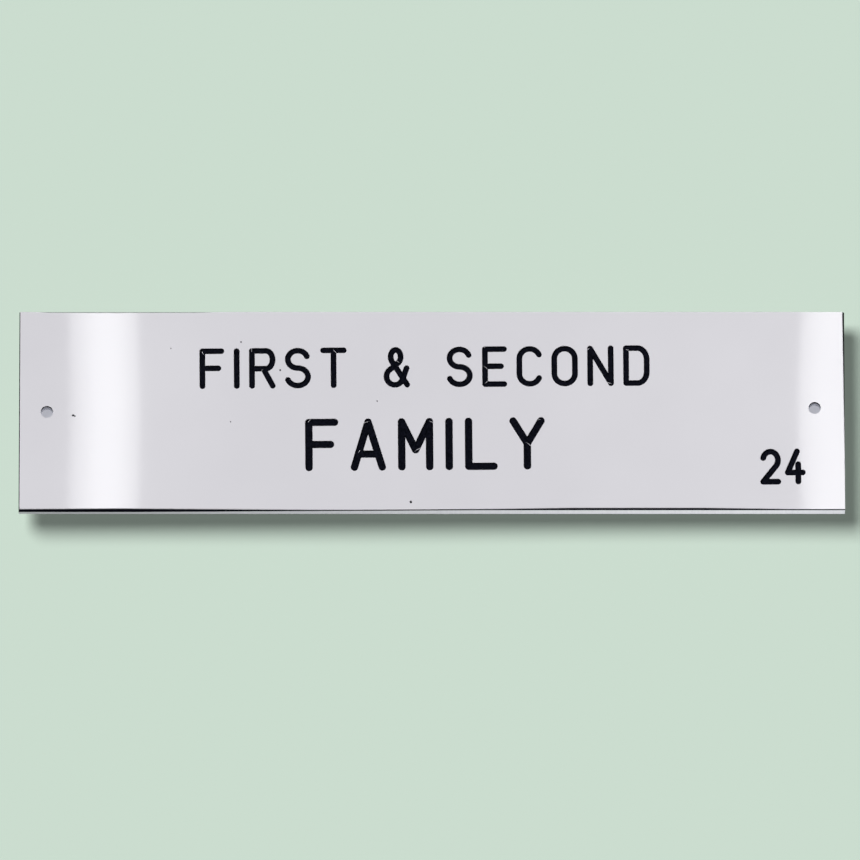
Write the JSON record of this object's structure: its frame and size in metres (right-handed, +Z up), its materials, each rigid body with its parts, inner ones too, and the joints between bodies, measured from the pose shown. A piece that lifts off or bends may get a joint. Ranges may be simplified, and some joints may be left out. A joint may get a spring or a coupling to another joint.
{
  "type": "door nameplate",
  "caption": "Flat oblong door nameplate of engraving laminate, white over black over white, drilled for a screw near each end, with hand-filed front edges.",
  "frame": {"origin": "middle of the flat back face, where the plate lies against the door", "axes": "+X along the plate to the reader's right, +Z up the door, +Y out of the back into the door, so the face looks towards -Y"},
  "size_m": [0.16, 0.0032, 0.0404],
  "materials": {
    "white_back": "sawn and filed white plastic",
    "black_core": "cut black plastic",
    "white_face": "glossy white laminate"
  },
  "bodies": {
    "root": {"back_ply": "white_back", "core_ply": "black_core", "face_ply": "white_face"}
  },
  "joints": []
}
